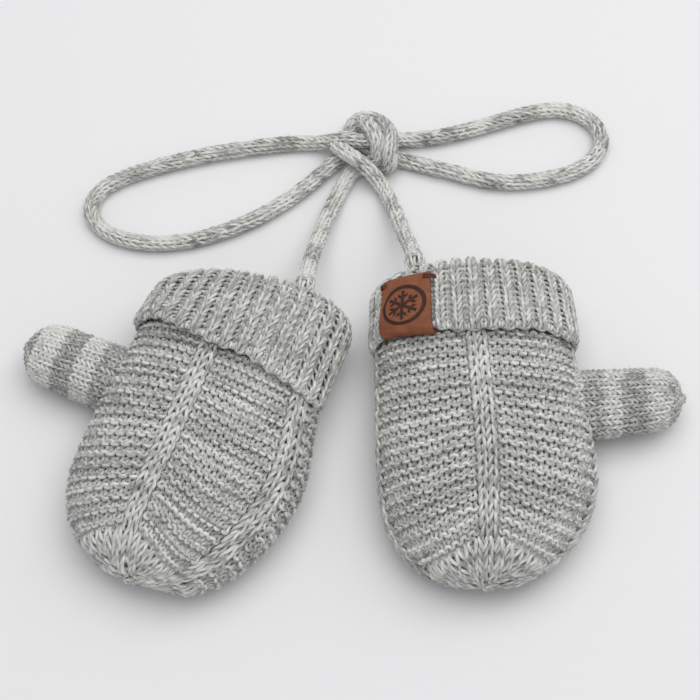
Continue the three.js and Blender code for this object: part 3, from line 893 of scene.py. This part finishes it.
def hem_rise(mitten, angle):
    """How far the hem rides up, at an angle round the cuff."""
    return mitten["hem_rise"] * np.exp(-(((angle - HEM_RISE_AT) / HEM_RISE_SPREAD) ** 2))


def cuff_fabric(mitten):
    """The turned-back cuff's surface, with a wavy hem."""
    profile, length = resample([(a, b, 0) for a, b in CUFF_PROFILE], LINE_STEP)
    rows = length / CUFF_ROUND
    stitches = 2 * CUFF_PAIRS
    grid = ring_grid([partial(cuff_point, reach, inset) for reach, inset, _ in profile], stitches)
    fabric = Fabric(grid, stitches, rows)
    s, r = fabric.places()
    angle = TAU * s / stitches
    rng = np.random.default_rng(mitten["seed"] + 5)
    lift, phase = waves(rng, s / stitches, r, 6, (2, 9), (0.05, 0.35))
    grid = grid + fabric.normal * CUFF_RIPPLE * lift[..., None]
    wave = 0.5 * np.cos(5 * angle + phase[0]) + 0.35 * np.cos(9 * angle + phase[1])
    wave -= HEM_SCALLOP * np.cos(CUFF_PAIRS * angle - TAU * KNIT_SHARE / 2)
    reach = profile[:, 0][:, None]
    first_inside = int(np.argmin(profile[:, 0]))
    outside = smooth(4, CUFF_HEM, reach) * (np.arange(len(profile)) < first_inside)[:, None]
    climb, drop, longer = mitten["uneven"]
    share = grid[..., 0] / CUFF_HALF_WIDTH
    grid[..., 1] += mix(climb * share, -drop * share - longer, outside)
    grid[..., 1] += (wave + hem_rise(mitten, angle)) * (1 - smooth(0, rows * 0.5, r))
    grid[..., 2] = np.maximum(grid[..., 2], CUFF_LOW)
    return Fabric(placed(grid, mitten), stitches, rows)


def rib_edges():
    """Knit stitches take the wider share of each pair."""
    edges = [0.0]
    for pair in range(CUFF_PAIRS):
        edges += [2 * (pair + KNIT_SHARE), 2 * (pair + 1.0)]
    return np.array(edges)


# Stitches of the ribbed cuff.
RIB_KNIT = (0.0, 1.05, 0.25, 0.7, 0.0, -0.75)
RIB_PURL = (0.0, 1.0, 0.16, -1.35, 0.0, 0.6)
CAST_ON = (0.0, -0.42, 0.10, 0.35, 0.0, -0.45)    # one arch of yarn under each stitch of the hem
RIB_YARN = 0.78            # radius of the cuff's yarn


def knit_cuff(name, mitten):
    """The cuff's rounds of knit and purl stitches in turn, over the thin fabric behind them."""
    fabric = cuff_fabric(mitten)
    edges = rib_edges()
    rounds = [(0.25, edges, [CAST_ON] * (2 * CUFF_PAIRS))]
    for k in range(int(fabric.last_row)):
        rounds.append((k + 0.9, edges, [RIB_KNIT, RIB_PURL] * CUFF_PAIRS))
    seed = mitten["seed"] + 7
    build = Build(tone_maker(seed))
    stitch_rows(build, fabric, rounds, RIB_YARN, seed)
    rib = build.mesh(f"{name}_cuff_rib", KNIT, "knit")
    inside = closed_skin(
        f"{name}_cuff_inside", fabric, BACKING,
        near=1.5, far=2.6, columns=174, rows=50, first=0.1, cap=False,
    )
    for obj in (rib, inside):
        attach(obj, f"{name}_hand")
    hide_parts(f"{name}_cuff")


# ---- the thumb ----

THUMB_STITCHES = 19
THUMB_ROUND_PITCH = 2.15
THUMB_BACK = 8.0           # how far the sleeve reaches back inside the hand's side
THUMB_SHARE = 0.975        # the last round lies this far along the sleeve
THUMB_DIMPLES = (1.5, 5.2, 9.1, 13.0, 16.6)    # the stitches at which its end puckers
THUMB_STITCH = (0.0, 0.9, 0.27, 0.1, 0.0, -0.78)
THUMB_YARN = 0.76


def thumb_fabric(mitten, inset=1.75):
    """The thumb's surface, `inset` inside the CAD's face, with a puckered end."""
    end = THUMB_LENGTH - inset
    start = THUMB_LENGTH - THUMB_ROUND
    rounded = start + (end - start) * np.sin(np.linspace(0, np.pi / 2, 200))
    out = np.concatenate([np.linspace(-THUMB_BACK, start, 200)[:-1], rounded])
    scale = closing(np.clip((out - start) / (end - start), 0, 1), THUMB_TIP)
    angles = np.linspace(0, TAU, 8, endpoint=False)
    along = mean_run([thumb_point(out, scale, a, inset, mitten) for a in angles])
    rows = along[-1] * THUMB_SHARE / THUMB_ROUND_PITCH
    stations = np.linspace(0, along[-1] * THUMB_SHARE, int(rows * GRID_PER_ROW))
    rings = [
        lambda angle, at=at: thumb_point(
            np.interp(at, along, out), np.interp(at, along, scale), angle, inset, mitten
        )
        for at in stations
    ]
    grid = ring_grid(rings, THUMB_STITCHES, arcs=1)
    fabric = Fabric(grid, THUMB_STITCHES, rows)
    rng = np.random.default_rng(mitten["seed"] + 3)
    s, r = fabric.places()
    uneven, _ = waves(rng, s / THUMB_STITCHES, r, 4, (1, 4), (0.1, 0.35))
    lift = THUMB_RIPPLE * uneven
    for centre in THUMB_DIMPLES:
        lift -= 0.9 * smooth(rows - 7, rows, r) * groove(s - centre, THUMB_STITCHES, 0.9)
    grid = grid + fabric.normal * lift[..., None]
    grid[..., 2] = np.maximum(grid[..., 2], THUMB_LOW)
    return Fabric(placed(grid, mitten), THUMB_STITCHES, rows)


def root_point(mitten, out):
    """A point on the thumb's centreline, in metres."""
    local = thumb_point(np.array([float(out)]), 0.0, np.array([0.0]), 0, mitten)
    return tuple(placed(local, mitten)[0] * MM)


def blend_thumb(obj, mitten):
    """Bakes a piece of the thumb's transform into its mesh."""
    start, end = root_point(mitten, -2), root_point(mitten, 9)
    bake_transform(obj)


def knit_thumb(name, mitten):
    """The thumb's rounds, fewer stitches to the last ones, over the thin fabric behind them."""
    fabric = thumb_fabric(mitten)
    rounds = []
    total = int(fabric.last_row)
    for k in range(total + 1):
        left = total - k
        count = THUMB_STITCHES if left > 3 else 12 if left > 1 else 8
        edges = np.linspace(0, THUMB_STITCHES, count + 1)
        rounds.append((min(k, fabric.last_row - 0.2), edges, [THUMB_STITCH] * count))
    seed = mitten["seed"] + 9
    build = Build(tone_maker(seed, 800, 1500, 0.5, 0.33, 0.16, 90))
    stitch_rows(build, fabric, rounds, THUMB_YARN, seed)
    sleeve = build.mesh(f"{name}_thumb_sleeve", KNIT, "knit")
    skin = f"{name}_thumb_inside"
    inside = closed_skin(skin, fabric, BACKING, near=1.0, far=2.0, columns=76, rows=50)
    for obj in (sleeve, inside):
        blend_thumb(obj, mitten)
    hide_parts(f"{name}_thumb")


# ---- the cord ----

CORD_WALES = 5
CORD_ROUND = 3.05
CORD_YARN_AT = 2.3         # middle of the yarn from the cord's centreline
CORD_YARN = 0.68
CORD_CORE = 1.75           # radius of the filling inside the stitches
CORD_TWIST = 5.0           # how far the wales turn round the cord over its length, in radians
CORD_SIDES, CORD_STITCH_POINTS = 5, 9
CORD_VARIES = (0.05, 0.04, 0.06)    # a stitch's row, height and lift


def cord_frames(line):
    """A way across the cord at each point, carried along it without twist."""
    tangent = unit(np.gradient(line, axis=0))
    across = np.zeros_like(line)
    across[0] = unit(np.cross(tangent[0], (0, 0, 1)))
    for i in range(1, len(line)):
        carried = across[i - 1] - tangent[i] * (across[i - 1] @ tangent[i])
        across[i] = carried / np.linalg.norm(carried)
    return tangent, across


def make_cord():
    """The knitted tube, as one yarn that spirals through its stitches, and its filling. Returns the
    centreline too."""
    line, length = resample(np.array(CORD_POINTS) / MM, LINE_STEP)
    tangent, across = cord_frames(line)
    other = np.cross(tangent, across)
    rows = length / CORD_ROUND
    columns = CORD_WALES * GRID_PER_ROW
    angle = TAU * np.arange(columns) / columns + np.linspace(0, CORD_TWIST, len(line))[:, None]
    ring = circle(angle, across[:, None], other[:, None])
    fabric = Fabric(line[:, None] + ring * CORD_YARN_AT, CORD_WALES, rows)
    fabric.normal = ring
    rng = np.random.default_rng(41)
    count = int((rows - 1.6) * CORD_WALES)
    t = np.linspace(-np.pi, np.pi, CORD_STITCH_POINTS, endpoint=False)[None]
    n = np.arange(count)[:, None]
    at, height, out = (rng.normal(0, amount, (count, 1)) for amount in CORD_VARIES)
    row = 0.8 + n / CORD_WALES + at + (1 + height) * np.cos(t)
    s = n + (t + np.pi) / TAU + 0.25 * np.sin(2 * t)
    lift = 0.05 - 0.5 * np.cos(2 * t) + out
    points, guide = fabric.at(s.ravel(), row.ravel(), lift.ravel())
    build = Build(tone_maker(57, 120, 620, 0.78, 0.15, 0.38))
    build.lay(points, guide, CORD_YARN, sides=CORD_SIDES, fuzz=FUZZ / 2)
    cord = build.mesh("cord_knit", KNIT, "knit")

    core_points = (line[:, None] + CORD_CORE * ring[:, ::GRID_PER_ROW]).reshape(-1, 3)
    quads, _, _ = ring_quads(len(line), CORD_WALES, False)
    ends = [list(range(CORD_WALES))[::-1], list(range(len(core_points) - CORD_WALES, len(core_points)))]
    faces = quads.tolist() + ends
    core = piece("cord_core", closed_mesh("cord_core", core_points, faces), BACKING)
    for obj in (cord, core):
        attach(obj, "cord")
    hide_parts("cord_left_tail", "cord_left_loop", "bow_knot", "cord_right_loop", "cord_right_tail")
    return line, cord, core


# ---- drawn yarn, sewn ends, linings ----

TIE_YARN, SEWING_YARN, THREAD_RADIUS = 0.62, 0.55, 0.33
TIP_TIE_SIZE, THUMB_TIE_SIZE = 1.45, 1.1
WRAP_RADIUS, WRAP_TURNS, WRAP_FROM, WRAP_TO = 3.35, 2.3, 5.2, 8.4
# Round the cord's end, in radians, where each sewing stitch lies; then how far along the cord and
# how far out from its middle a stitch runs, and how far it slants.
SEWN_AT = (0.2, 1.1, 2.0, 2.9, 4.1, 5.4)
SEWN_ALONG = (7.4, 6.6, 5.0, 3.2, 1.6, 0.4)
SEWN_OUT = (2.9, 3.55, 3.8, 3.8, 3.4, 2.6)
SEWN_SLANT = 0.9


def drawn_yarn(name, middle, axis, size, body, node):
    """The yarn's end, drawn through the last loops and knotted on itself in a trefoil."""
    axis = unit(np.asarray(axis, float))
    across = unit(np.cross(axis, (0.1, 0.2, 1.0)))
    other = np.cross(axis, across)
    t = np.linspace(0, TAU, 80, endpoint=False)
    ring = size * (1 + 0.42 * np.cos(3 * t[:, None]))
    line = middle + ring * circle(2 * t, across, other) + 0.5 * size * np.sin(3 * t[:, None]) * axis
    build = Build(tone_maker(77))
    build.lay(line, unit(line - middle), TIE_YARN, sides=8, closed=True)
    obj = build.mesh(name, KNIT, "knit")
    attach(obj, body)
    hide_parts(node)


def draw_tips(name, mitten):
    """The ties of the hand and of the thumb."""
    tip = placed(np.array([0.0, -HAND_LENGTH + 0.6, TIP_HEIGHT]), mitten)
    out = turned((0, -1, 0), mitten)
    drawn_yarn(f"{name}_tip_yarn", tip, out, TIP_TIE_SIZE, f"{name}_hand", f"{name}_tip_tie")
    tip = np.array(root_point(mitten, THUMB_LENGTH - 0.4)) / MM
    out = turned((mitten["side"], 0, 0), mitten)
    drawn_yarn(
        f"{name}_thumb_yarn", tip, out, THUMB_TIE_SIZE, f"{name}_thumb_sleeve", f"{name}_thumb_tie"
    )


def sew_cord(name, line):
    """Wraps round the cord's end, and stitches from them into the fold. `line` starts at that end."""
    along = run_along(line)
    at = lambda d: np.stack([np.interp(d, along, line[:, k]) for k in range(3)], axis=-1)
    tangent = unit(at(8.0) - at(2.0))
    side = unit(np.cross(tangent, (0, 0, 1)))
    up = np.cross(side, tangent)
    build = Build(tone_maker(91))
    middle = at(np.linspace(WRAP_FROM, WRAP_TO, 70))
    wrap = middle + WRAP_RADIUS * circle(np.linspace(0, WRAP_TURNS * TAU, 70), side, up)
    build.lay(wrap, unit(wrap - middle), SEWING_YARN)
    slant = np.linspace(-SEWN_SLANT, SEWN_SLANT, len(SEWN_ALONG))[:, None]
    for angle in SEWN_AT:
        out = circle(np.array(angle), side, up)
        points = at(SEWN_ALONG) + np.outer(SEWN_OUT, out) + slant * np.cross(tangent, out)
        stitch, _ = resample(points, 0.4)
        build.lay(stitch, np.broadcast_to(out, stitch.shape), SEWING_YARN)
    obj = build.mesh(f"{name}_cord_sewing", KNIT, "knit")
    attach(obj, "cord")
    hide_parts(f"{name}_cord_stitch")
    return obj


LINING_START, LINING_TIP = 7.5, 112
LINING_INSET, THUMB_LINING_INSET = 4.5, 3.9
LINING_LOW = 4.2


def line_mitten(name, mitten):
    """The fleece lining of the hand and of the thumb."""
    full = HAND_LENGTH - LINING_INSET
    reach = np.concatenate([
        np.linspace(LINING_START, LINING_TIP, 90)[:-1],
        LINING_TIP + (full - LINING_TIP) * np.sin(np.linspace(0, 0.985 * np.pi / 2, 30)),
    ])
    rings = [lambda a, here=here: hand_point(here, a, LINING_INSET, mitten) for here in reach]
    grid = ring_grid(rings, HAND_STITCHES)
    grid[..., 2] = np.maximum(grid[..., 2], LINING_LOW)
    near_mouth = 1 - smooth(8, 30, reach)[:, None]
    grid[..., 1] += mitten["uneven"][0] * near_mouth * grid[..., 0] / CUFF_HALF_WIDTH
    fabric = Fabric(placed(grid, mitten), HAND_STITCHES, len(reach) - 1)
    hand = closed_skin(
        f"{name}_hand_fleece", fabric, FLEECE,
        near=0.0, far=2.2, columns=220, rows=150, bump=0.28, seed=mitten["seed"],
    )
    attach(hand, f"{name}_hand")
    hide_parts(f"{name}_lining")
    fabric = thumb_fabric(mitten, THUMB_LINING_INSET)
    thumb = closed_skin(
        f"{name}_thumb_fleece", fabric, FLEECE,
        near=0.2, far=1.8, columns=60, rows=40, bump=0.15, seed=mitten["seed"] + 1,
    )
    blend_thumb(thumb, mitten)
    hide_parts(f"{name}_thumb_lining")


# ---- the label ----

# Reach and depth of the middle of the leather, from its top edge round the hem to its back edge.
LABEL_PROFILE = [
    (7.4, -0.5), (9.5, -0.95), (14, -1.05), (22, -1.05), (29, -0.95), (32.5, -0.5), (34.2, 0.8),
    (34.3, 2.5), (32.6, 3.9), (29, 4.4), (24.5, 4.5),
]
LABEL_LEFT_TOP, LABEL_LEFT_HEM, LABEL_RIGHT_EDGE = (math.radians(a) for a in (146.5, 151, 113))
LABEL_THICKNESS = 1.3
LABEL_EDGE = 0.55          # radius of its burnished edges
MARK_AT, MARK_RING, MARK_ARM, MARK_LINE, MARK_DEPTH = 14.2, 8.7, 6.9, 0.62, 0.45
LEATHER_STEP, LEATHER_COLUMNS = 0.2, 116
# A corner's thread: how far each point lies along the strip, in from its edge as a share of the
# width, and under the cuff's face.
THREAD_REACH = (0.0, 0.15, 0.1, 0.3, 0.1, 0.2)
THREAD_IN = (0.12, 0.105, 0.06, 0.0, -0.045, -0.07)
THREAD_INSET = (-1.2, -2.1, -2.25, -2.0, -1.0, 0.5)


def plain_mark(x, y):
    """A ring round a plain six-armed flake: 1 where it is pressed in, 0 where the face is flat."""
    far = np.hypot(x, y)
    gap = np.abs(far - MARK_RING) - MARK_LINE * 1.2
    for k in range(3):
        angle = k * math.pi / 3 + math.pi / 6
        along = np.abs(math.cos(angle) * x + math.sin(angle) * y)
        off = np.abs(math.cos(angle) * y - math.sin(angle) * x)
        arm = np.maximum(off - MARK_LINE, along - MARK_ARM)
        twig = np.maximum(np.abs(along - 0.52 * MARK_ARM - 0.6 * off) - MARK_LINE, off - 0.3 * MARK_ARM)
        gap = np.minimum(gap, np.minimum(arm, twig))
    return 1 - smooth(-0.12, 0.22, gap)


def label_surface(u, reach, inset, mitten):
    """The middle of the leather: u runs from its left edge to its right one."""
    left = mix(LABEL_LEFT_TOP, LABEL_LEFT_HEM, smooth(5, 30, reach))
    angle = mix(left, LABEL_RIGHT_EDGE, u)
    return placed(cuff_point(reach - hem_rise(mitten, angle), inset, angle), mitten)


def make_label(mitten):
    """The leather strip as one closed body, with its mark pressed in, and the threads at its corners."""
    profile, length = resample([(a, b, 0) for a, b in LABEL_PROFILE], LEATHER_STEP)
    across = LEATHER_COLUMNS
    u = mix(np.linspace(0, 1, across), 0.5 - 0.5 * np.cos(np.linspace(0, np.pi, across)), 0.3)
    reach, inset = profile[:, 0][:, None], profile[:, 1][:, None]
    middle = label_surface(u[None], reach, inset, mitten)
    normal = unit(np.cross(np.gradient(middle, axis=1), np.gradient(middle, axis=0)))
    if normal[len(normal) // 4, across // 2, 2] < 0:
        normal = -normal
    width = np.linalg.norm(np.diff(middle, axis=1), axis=2).sum(axis=1)[:, None]
    s = np.linspace(0, length, len(profile))[:, None]
    to_side = np.minimum(u, 1 - u)[None] * width
    to_end = np.minimum(s, length - s)
    round_off = lambda gap: np.sqrt(1 - (1 - np.clip(gap / LABEL_EDGE, 0, 1)) ** 2)
    half = LABEL_THICKNESS / 2 * np.maximum(round_off(to_side) * round_off(to_end), 0.02)
    mark = plain_mark((u[None] - 0.5) * width, s - MARK_AT)
    worn = 0.08 * np.cos(0.9 * s + 4 * u[None]) + 0.06 * np.cos(2.3 * s - 9 * u[None])
    face = middle + normal * (half - MARK_DEPTH * mark + worn * round_off(to_side))[..., None]
    back = middle - normal * half[..., None]
    loop = np.concatenate([face, back[:, ::-1]], axis=1)
    rows, sides = loop.shape[:2]
    quads, _, _ = ring_quads(rows, sides, False)
    k = np.arange(across - 1)
    end = np.stack([k, k + 1, sides - 2 - k, sides - 1 - k], axis=1)
    quads = np.concatenate([quads, end, (rows - 1) * sides + end[:, ::-1]])
    edge = np.concatenate([to_side, to_side[:, ::-1]], axis=1)
    where = np.stack([np.minimum(edge, to_end) / 3, np.broadcast_to(s, edge.shape)], axis=-1)
    build = Build()
    build.add(
        loop.reshape(-1, 3), quads, where.reshape(-1, 2)[quads].reshape(-1, 2),
        np.concatenate([mark, 0 * mark], axis=1).ravel(),
    )
    obj = build.mesh("leather_label", LEATHER, "label")
    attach(obj, "right_hand")
    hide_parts("label")
    for name, corner, out in (("left", 0.0, -1), ("right", 1.0, 1)):
        build = Build(tone_maker(5))
        for strand in range(3):
            reach = 9.0 + 0.62 * strand + np.array(THREAD_REACH)
            u = corner - out * np.array(THREAD_IN)
            line, _ = resample(label_surface(u, reach, np.array(THREAD_INSET), mitten), 0.25)
            up = normal[8, int(corner * (across - 1))]
            build.lay(line, np.broadcast_to(up, line.shape), THREAD_RADIUS)
        thread = build.mesh(f"label_thread_{name}", THREAD, "thread")
        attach(thread, "right_hand")
        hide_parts(f"label_stitch_{name}")


# ---- the pieces ----

cord_line, cord_knit, cord_core = make_cord()
sewing = [sew_cord("left", cord_line), sew_cord("right", cord_line[::-1])]
for mitten_name, mitten_place in MITTENS.items():
    knit_hand(mitten_name, mitten_place)
    knit_cuff(mitten_name, mitten_place)
    knit_thumb(mitten_name, mitten_place)
    line_mitten(mitten_name, mitten_place)
    draw_tips(mitten_name, mitten_place)
make_label(MITTENS["right"])

# ---- stage ----

LIT_POINT = (0, 0.03, 0)
SKY, SKY_STRENGTH = (0.975, 0.98, 1.0, 1), 0.50
# Name, place, size, power and colour.
LIGHTS = (
    ("key", (0.12, 0.20, 1.30), 1.4, 9.6, (1, 0.99, 0.975)),
    ("side", (0.7, 0.5, 0.8), 0.6, 1.0, (1, 0.985, 0.96)),
)


def stage():
    """A pale table, an even sky and two soft lamps."""
    n = Nodes("table")
    place = n.place()
    color = n.blend(n.noise(place, 3.0, 1.0), "efeff0", "ececee")
    material = n.finish(color, roughness=0.6, specular_ior_level=0.2)
    bpy.ops.mesh.primitive_plane_add(size=8, location=(0, 0, -0.0001))
    floor = bpy.context.object
    floor.name = "table_top"
    floor.data.materials.append(material)

    world = bpy.data.worlds.new("studio")
    world.use_nodes = True
    sky = world.node_tree.nodes["Background"].inputs
    sky["Color"].default_value = SKY
    sky["Strength"].default_value = SKY_STRENGTH
    bpy.context.scene.world = world

    for name, place, size, power, tint in LIGHTS:
        light = bpy.data.lights.new(name, "AREA")
        light.shape = "DISK"
        light.size = size
        light.energy = power
        light.color = tint
        lamp = bpy.data.objects.new(name, light)
        lamp.location = place
        x, y, z = np.array(place) - LIT_POINT
        lamp.rotation_euler = (math.atan2(math.hypot(x, y), z), 0, math.atan2(y, x) + math.pi / 2)
        bpy.context.scene.collection.objects.link(lamp)
    bpy.context.scene.view_settings.view_transform = "Standard"


stage()
